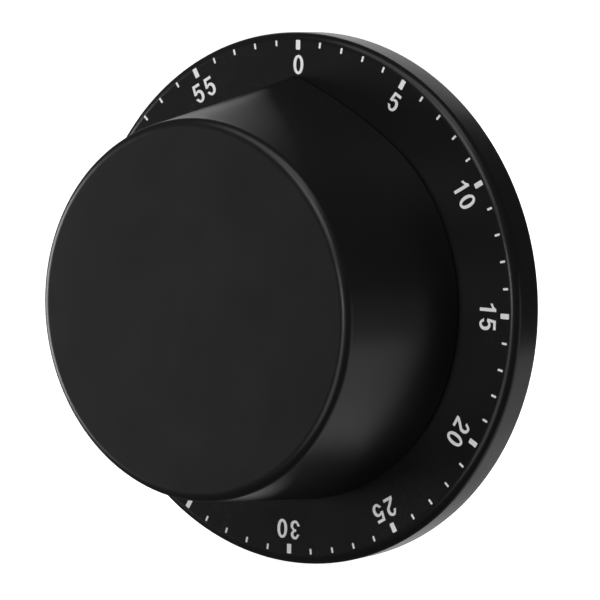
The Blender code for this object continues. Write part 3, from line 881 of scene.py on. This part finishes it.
class TIMER_OT_knob(bpy.types.Operator):
    """Build the knob: its side, from a pointed base to a round face, and the hollow behind it"""

    bl_idname = "timer.knob"
    bl_label = "Knob"

    def execute(self, context):
        self.angles = self.spaced_angles()
        self.shape = bmesh.new()
        count = len(self.angles)
        self.ring = bmesh.ops.create_circle(self.shape, segments=count, radius=1)["verts"]
        self.loop = self.shape.edges[:]
        first, *rest = (*self.outer_stations(), *self.inner_stations())
        self.settle(*first)
        for station in rest:
            self.grow()
            self.settle(*station)
        piece("knob_shell", self.shape, "black_plastic", "knob", ["knob"], "knob_plastic")
        return {"FINISHED"}

    def spaced_angles(self):
        """Angles round the knob, close together at the pointer's tip."""
        half = POINTER_HALF_ANGLE
        steps = range(POINTER_STEPS, 0, -1)
        to_tip = [half * (step / POINTER_STEPS) ** POINTER_CROWDING for step in steps]
        along = [90 - away for away in to_tip] + [90] + [90 + away for away in reversed(to_tip)]
        rest = (360 - 2 * half) / BACK_STEPS
        return along + [90 + half + rest * step for step in range(1, BACK_STEPS)]

    def grow(self):
        """Pulls a new ring out of the last one, with its points in the same order."""
        grown = bmesh.ops.extrude_edge_only(self.shape, edges=self.loop)["geom"]
        fresh = {item for item in grown if isinstance(item, bmesh.types.BMVert)}
        new = []
        for vert in self.ring:
            joined = (edge.other_vert(vert) for edge in vert.link_edges)
            new.append(next(other for other in joined if other in fresh))
        edges = (item for item in grown if isinstance(item, bmesh.types.BMEdge))
        self.loop = [edge for edge in edges if fresh.issuperset(edge.verts)]
        self.ring = new

    def settle(self, depth, outline):
        """Moves the last ring to a depth and an outline."""
        for vert, (x, z) in zip(self.ring, outline):
            vert.co = (x, -depth, z)

    def pointer(self, angle, share):
        """How far the pointer stands out at this share of the way from base to face. Its ridge fades
        and softens on the way."""
        softness = POINTER_SOFTNESS + POINTER_SOFTENING * share
        away = math.hypot(abs((angle - 90 + 180) % 360 - 180), softness) - softness
        nearness = max(0.0, 1 - away / POINTER_HALF_ANGLE)
        return sizes().pointer_rise / MM * nearness**POINTER_CURVE * (1 - share)

    def side(self, share, inset=0.0):
        """The side's outline at this share of the way from base to face."""
        radius = KNOB_BASE_R + (KNOB_FACE_R - KNOB_BASE_R) * share - inset
        return [polar(radius + self.pointer(angle, share), angle) for angle in self.angles]

    def circle(self, radius):
        return [polar(radius, angle) for angle in self.angles]

    def outer_stations(self):
        """From the middle of the face out, over the rounded edge and down to the base."""
        rounding = sizes().knob_rounding / MM
        height = KNOB_FACE - KNOB_BACK
        edge_share = 1 - rounding / height
        edge_r = KNOB_BASE_R + (KNOB_FACE_R - KNOB_BASE_R) * edge_share - rounding
        face = range(FACE_STEPS)
        stations = [(KNOB_FACE, self.circle(edge_r * step / FACE_STEPS)) for step in face]
        for step in range(EDGE_STEPS + 1):
            turn = math.radians(90 * step / EDGE_STEPS)
            inset = rounding * (1 - math.sin(turn))
            depth = KNOB_FACE - rounding * (1 - math.cos(turn))
            stations.append((depth, self.side(edge_share, inset)))
        low_share = BASE_BREAK / height
        for step in range(1, SIDE_STEPS + 1):
            share = edge_share + (low_share - edge_share) * step / SIDE_STEPS
            stations.append((KNOB_BACK + height * share, self.side(share)))
        for step in range(1, BASE_BREAK_STEPS + 1):
            turn = math.radians(90 * step / BASE_BREAK_STEPS)
            depth = KNOB_BACK + BASE_BREAK * (1 - math.sin(turn))
            stations.append((depth, self.side(low_share, BASE_BREAK * (1 - math.cos(turn)))))
        return stations

    def inner_stations(self):
        """The hollow, the boss with its clip groove, and the bore with one flat side."""
        bore = [(min(x, BORE_FLAT), z) for x, z in self.circle(BORE_R)]
        corner = 0.3 * HOLLOW_ROUNDING
        return [
            (KNOB_BACK, self.circle(HOLLOW_BACK_R + HOLLOW_BREAK)),
            (KNOB_BACK + HOLLOW_BREAK, self.circle(HOLLOW_BACK_R)),
            (HOLLOW_FACE - HOLLOW_ROUNDING, self.circle(HOLLOW_FRONT_R)),
            (HOLLOW_FACE - corner, self.circle(HOLLOW_FRONT_R - corner)),
            (HOLLOW_FACE, self.circle(HOLLOW_FRONT_R - HOLLOW_ROUNDING)),
            (HOLLOW_FACE, self.circle(BOSS_R + BOSS_FOOT)),
            (HOLLOW_FACE - BOSS_FOOT, self.circle(BOSS_R)),
            (CLIP_GROOVE[1], self.circle(BOSS_R)),
            (CLIP_GROOVE[1], self.circle(CLIP_GROOVE_R)),
            (CLIP_GROOVE[0], self.circle(CLIP_GROOVE_R)),
            (CLIP_GROOVE[0], self.circle(BOSS_R)),
            (BOSS_BACK + BOSS_END_BREAK, self.circle(BOSS_R)),
            (BOSS_BACK, self.circle(BOSS_R - BOSS_END_BREAK)),
            (BOSS_BACK, bore),
            (BORE_END, bore),
            (BORE_END, self.circle(0)),
        ]


class TIMER_OT_print(bpy.types.Operator):
    """Print the minute marks and figures on the dial"""

    bl_idname = "timer.print"
    bl_label = "Dial print"

    def execute(self, context):
        self.ticks()
        self.figures()
        return {"FINISHED"}

    def ticks(self):
        """Sixty rounded bars, wider and longer at every fifth minute."""
        ring = sizes().tick_ring / MM
        shape = bmesh.new()
        for minute in range(60):
            fifth = minute % 5 == 0
            width, length = FIFTH_TICK if fifth else MINUTE_TICK
            radius = ring - FIFTH_TICK_INSET if fifth else ring
            face = bmesh.ops.create_grid(shape, x_segments=1, y_segments=1, size=0.5)["verts"]
            bmesh.ops.scale(shape, vec=(width, length, 1), verts=face)
            bmesh.ops.translate(shape, vec=(0, radius, 0), verts=face)
            turn = Matrix.Rotation(math.radians(-6 * minute), 3, "Z")
            bmesh.ops.rotate(shape, cent=(0, 0, 0), matrix=turn, verts=face)
        bmesh.ops.bevel(
            shape,
            geom=shape.verts[:],
            offset=TICK_CORNER,
            segments=EDGE_SEGMENTS,
            profile=0.5,
            affect="VERTICES",
            clamp_overlap=True,
            material=-1,
        )
        upright = Matrix.Rotation(math.radians(90), 3, "X")
        bmesh.ops.rotate(shape, cent=(0, 0, 0), matrix=upright, verts=shape.verts)
        bmesh.ops.translate(shape, vec=(0, -DIAL_FACE + INK_ROOT, PRINT_RISE), verts=shape.verts)
        front = bmesh.ops.extrude_face_region(shape, geom=shape.faces[:])["geom"]
        rise = Vector((0, -INK_ROOT - sizes().ink / MM, 0))
        moved = [item for item in front if isinstance(item, bmesh.types.BMVert)]
        bmesh.ops.translate(shape, vec=rise, verts=moved)
        self.print_piece("dial_ticks", shape)

    def figures(self):
        """The numbers 0 to 55 with their tops outwards."""
        outlines = []
        for number in range(0, 60, 5):
            text = str(number)
            for index, digit in enumerate(text):
                shift = (index - (len(text) - 1) / 2) * FIGURE_ADVANCE
                for outline in FIGURES[digit]:
                    turn = -6 * number - FIGURE_TURN
                    outlines.append([self.placed(point, shift, turn) for point in outline])
        ink = sizes().ink / MM
        levels = (DIAL_FACE - INK_ROOT, DIAL_FACE + ink)
        shape = outlined(outlines, *levels, thinning=FIGURE_THINNING)
        self.print_piece("dial_figures", shape)

    def print_piece(self, name, shape):
        """Ink this thin is left out of the glossy knob's reflections."""
        piece(name, shape, "white_print", "timer_body")
        bpy.data.objects[name].visible_glossy = False

    def placed(self, point, shift, turn):
        """A figure's outline point, moved to its place on the dial."""
        x, height, tangent = point
        radius = sizes().figure_ring / MM + height - FIGURE_TOP / 2
        place = Matrix.Rotation(math.radians(turn), 2) @ Vector((x * FIGURE_WIDTH + shift, radius))
        turned = None if tangent is None else tangent + turn
        return place.x, place.y + PRINT_RISE, turned


class TIMER_OT_back(bpy.types.Operator):
    """Build the rear panel with its sound slots, the magnet, the grip ring and the panel screws"""

    bl_idname = "timer.back"
    bl_label = "Back"

    def execute(self, context):
        self.panel()
        back, front = depths("magnet")
        magnet_r = reach("magnet")
        section = [(0, back), (magnet_r, back), (magnet_r, front), (0, front)]
        disc = spun(section, rounding=MAGNET_ROUNDING)
        piece("magnet_disc", disc, "magnet_nickel", "timer_body", ["magnet"])
        back, front = depths("rubber_ring")
        inner, outer = GROOVE[0] + GROOVE_WALL, reach("rubber_ring")
        section = [(inner, back), (outer, back), (outer, front), (inner, front)]
        ring = spun(section, rounding=GRIP_ROUNDING)
        piece("grip_ring", ring, "grip_rubber", "timer_body", ["rubber_ring"])
        for index, angle in enumerate(SCREW_ANGLES):
            self.screw(index, angle)
        return {"FINISHED"}

    def panel(self):
        """The rear cover: the magnet's pocket, the groove's rim, and the flat sheet between them."""
        pocket = [
            (0, POCKET_REAR),
            (POCKET_R, POCKET_REAR),
            (POCKET_R, COLLAR_BACK),
            (POCKET_WALL_R, COLLAR_BACK),
            (POCKET_WALL_R, POCKET_FRONT),
            (0, POCKET_FRONT),
        ]
        groove_inner, groove_outer, groove_floor = GROOVE
        rim = [
            (groove_inner - GROOVE_WALL, groove_floor),
            (groove_outer, groove_floor),
            (groove_outer, CASE_BACK),
            (PANEL_R, CASE_BACK),
            (PANEL_R, PANEL_FRONT),
            (groove_inner - GROOVE_WALL, PANEL_FRONT - 0.1),
        ]
        hole, seat_r, seat_back, seat_front = SEAT
        seat = [(hole, seat_back), (seat_r, seat_back), (seat_r, seat_front), (hole, seat_front)]
        outlines = [loop(groove_inner, 180), loop(POCKET_WALL_R - GROOVE_WALL, 90)]
        shapes = [spun(pocket, rounding=POCKET_BREAK), spun(rim, rounding=PANEL_BREAK)]
        for angle in SCREW_ANGLES:
            place = polar(SCREW_AT, angle)
            outlines.append(loop(SEAT_OPENING_R, SMALL_STEPS, place))
            shapes.append(spun(seat, place, SMALL_STEPS))
        for middle in SOUND_SPANS:
            for radius in SOUND_ROWS:
                outlines.append(self.sound_slot(radius, middle))
        shapes.append(outlined(outlines, CASE_BACK, PANEL_FRONT, PANEL_BREAK))
        piece("rear_panel", merged(*shapes), "black_plastic", "timer_body", ["rear_cover"])

    def sound_slot(self, radius, middle):
        """A curved slot with rounded ends."""
        half = SOUND_WIDTH / 2
        begin = middle - SOUND_HALF_SPAN + math.degrees(half / radius)
        end = middle + SOUND_HALF_SPAN - math.degrees(half / radius)
        outer = arc(radius + half, begin, end, 20)
        far_end = arc(half, end, end + 180, 8, polar(radius, end))[1:-1]
        inner = arc(radius - half, end, begin, 20)
        near_end = arc(half, begin + 180, begin + 360, 8, polar(radius, begin))[1:-1]
        return outer + far_end + inner + near_end

    def screw(self, index, angle):
        """A slotted panel screw."""
        node = f"cover_screw_{index + 1}"
        back, tip = depths(node)
        head_r = reach(node)
        at = polar(SCREW_AT, angle)
        slot_end, seat = back + SCREW_SLOT, back + SCREW_HEAD
        core_r = head_r - 0.01
        section = [
            (0, slot_end),
            (core_r, slot_end),
            (core_r, seat),
            (SCREW_STEM_R, seat),
            (SCREW_STEM_R, tip),
            (0, tip),
        ]
        shapes = [spun(section, at, SMALL_STEPS, 0.06)]
        turn = SLOT_TURNS[index]
        half_gap = math.degrees(math.asin(SCREW_SLOT_HALF_WIDTH / head_r))
        for side in (turn, turn + 180):
            half = arc(head_r, side + half_gap, side + 180 - half_gap, 24, at)
            shapes.append(outlined([half], back, slot_end + 0.1, SCREW_HEAD_BREAK))
        piece(f"panel_screw_{index + 1}", merged(*shapes), "zinc_steel", "timer_body", [node])


class TIMER_OT_movement(bpy.types.Operator):
    """Build the bell, and give the wheels, arbors and plates of the movement their finishes"""

    bl_idname = "timer.movement"
    bl_label = "Movement"

    def execute(self, context):
        back, mouth = depths("bell")
        bell_r = reach("bell")
        inner_back = back + BELL_WALL
        outer = self.bowl(BELL_TOP_R, back, bell_r, mouth)
        inner = self.bowl(BELL_INNER_TOP_R, inner_back, bell_r - BELL_WALL, mouth)
        section = [(BELL_HOLE_R, back), *outer, *reversed(inner), (BELL_HOLE_R, inner_back)]
        piece("bell_bowl", spun(section), "bell_steel", "timer_body", ["bell"])
        for slot, nodes in MOVEMENT.items():
            for node in nodes:
                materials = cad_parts[node].data.materials
                materials.clear()
                materials.append(material(slot))
        return {"FINISHED"}

    def bowl(self, top_r, top, mouth_r, mouth):
        """The quarter turn from a flat back to the mouth."""
        quarter = [math.radians(90 * step / BELL_STEPS) for step in range(BELL_STEPS + 1)]
        return [
            (top_r + (mouth_r - top_r) * math.sin(turn), mouth - (mouth - top) * math.cos(turn))
            for turn in quarter
        ]


class TIMER_OT_stage(bpy.types.Operator):
    """Set a pale floor, soft lights and the camera"""

    bl_idname = "timer.stage"
    bl_label = "Stage"

    def execute(self, context):
        self.floor()
        self.world()
        for light in LIGHTS:
            self.light(*light)
        self.camera()
        context.scene.view_settings.view_transform = VIEW_TRANSFORM
        return {"FINISHED"}

    def floor(self):
        """The floor and the pale dome that it rises into, so every view has plain ground."""
        shape = bmesh.new()
        bmesh.ops.create_uvsphere(shape, u_segments=64, v_segments=32, radius=ROOM_R)
        for vert in shape.verts:
            vert.co.z = max(vert.co.z, -DIAL_R * MM)
        mesh = bpy.data.meshes.new("floor")
        shape.to_mesh(mesh)
        shape.free()
        finish = Finish("pale_floor", Roughness=0.9, Emission_Strength=FLOOR_GLOW)
        finish.shader.inputs["Emission Color"].default_value = (1, 1, 1, 1)
        finish.shader.inputs["Base Color"].default_value = (*colours().floor, 1)
        mesh.materials.append(finish.material)
        floor = bpy.data.objects.new("floor", mesh)
        bpy.context.scene.collection.objects.link(floor)
        # The glowing floor is seen but sheds no light, so the soft lights alone shape the timer.
        floor.visible_diffuse = floor.visible_glossy = floor.visible_shadow = False

    def world(self):
        """Faint even light from all round."""
        world = bpy.data.worlds.new("studio")
        world.use_nodes = True
        background = world.node_tree.nodes["Background"]
        background.inputs["Color"].default_value = (1, 1, 1, 1)
        background.inputs["Strength"].default_value = WORLD_STRENGTH
        bpy.context.scene.world = world

    def light(self, name, azimuth, elevation, size, power):
        """A square soft light that faces the timer."""
        data = bpy.data.lights.new(name, "AREA")
        data.shape = "SQUARE"
        data.size = size
        data.energy = power
        light = bpy.data.objects.new(name, data)
        back = outward(azimuth, elevation)
        light.location = back * LIGHT_DISTANCE
        light.rotation_mode = "QUATERNION"
        light.rotation_quaternion = (-back).to_track_quat("-Z", "Y")
        bpy.context.scene.collection.objects.link(light)

    def camera(self):
        """The camera, aimed at the dial's middle and tilted a little about its view."""
        data = bpy.data.cameras.new("camera")
        data.lens = CAMERA_LENS
        camera = bpy.data.objects.new("camera", data)
        back = outward(CAMERA_AZIMUTH, CAMERA_ELEVATION)
        azimuth = math.radians(CAMERA_AZIMUTH)
        right = Vector((math.cos(azimuth), math.sin(azimuth), 0))
        up = back.cross(right)
        roll = math.radians(CAMERA_ROLL)
        across = right * math.cos(roll) + up * math.sin(roll)
        upward = up * math.cos(roll) - right * math.sin(roll)
        aim = Vector(CAMERA_AIM) * MM
        turned = Matrix((across, upward, back)).transposed().to_4x4()
        camera.matrix_world = Matrix.Translation(aim + back * CAMERA_DISTANCE * MM) @ turned
        bpy.context.scene.collection.objects.link(camera)
        bpy.context.scene.camera = camera


def outward(azimuth, elevation):
    """The direction from the timer towards a viewer. Azimuth 0 faces the dial."""
    turn, rise = math.radians(azimuth), math.radians(elevation)
    return Vector(
        (math.sin(turn) * math.cos(rise), -math.cos(turn) * math.cos(rise), math.sin(rise))
    )


PIECES = (
    TIMER_OT_casing,
    TIMER_OT_knob,
    TIMER_OT_print,
    TIMER_OT_back,
    TIMER_OT_movement,
    TIMER_OT_stage,
)


class TIMER_PT_panel(bpy.types.Panel):
    """Lists the timer's pieces, sizes and colours"""

    bl_idname = "TIMER_PT_panel"
    bl_label = "Kitchen timer"
    bl_space_type = "VIEW_3D"
    bl_region_type = "UI"
    bl_category = "Timer"

    def draw(self, context):
        for group in (sizes(), colours()):
            for name in group.__annotations__:
                self.layout.prop(group, name)
        for step in PIECES:
            self.layout.operator(step.bl_idname)


CLASSES = (TimerSizes, TimerColours, *PIECES, TIMER_PT_panel)


def register():
    for made in CLASSES:
        bpy.utils.register_class(made)
    bpy.types.Scene.timer_sizes = PointerProperty(type=TimerSizes)
    bpy.types.Scene.timer_colours = PointerProperty(type=TimerColours)


def unregister():
    del bpy.types.Scene.timer_colours
    del bpy.types.Scene.timer_sizes
    for made in reversed(CLASSES):
        bpy.utils.unregister_class(made)


def main():
    register()
    bpy.ops.timer.casing()
    bpy.ops.timer.knob()
    bpy.ops.timer.print()
    bpy.ops.timer.back()
    bpy.ops.timer.movement()
    bpy.ops.timer.stage()


if __name__ == "__main__":
    main()
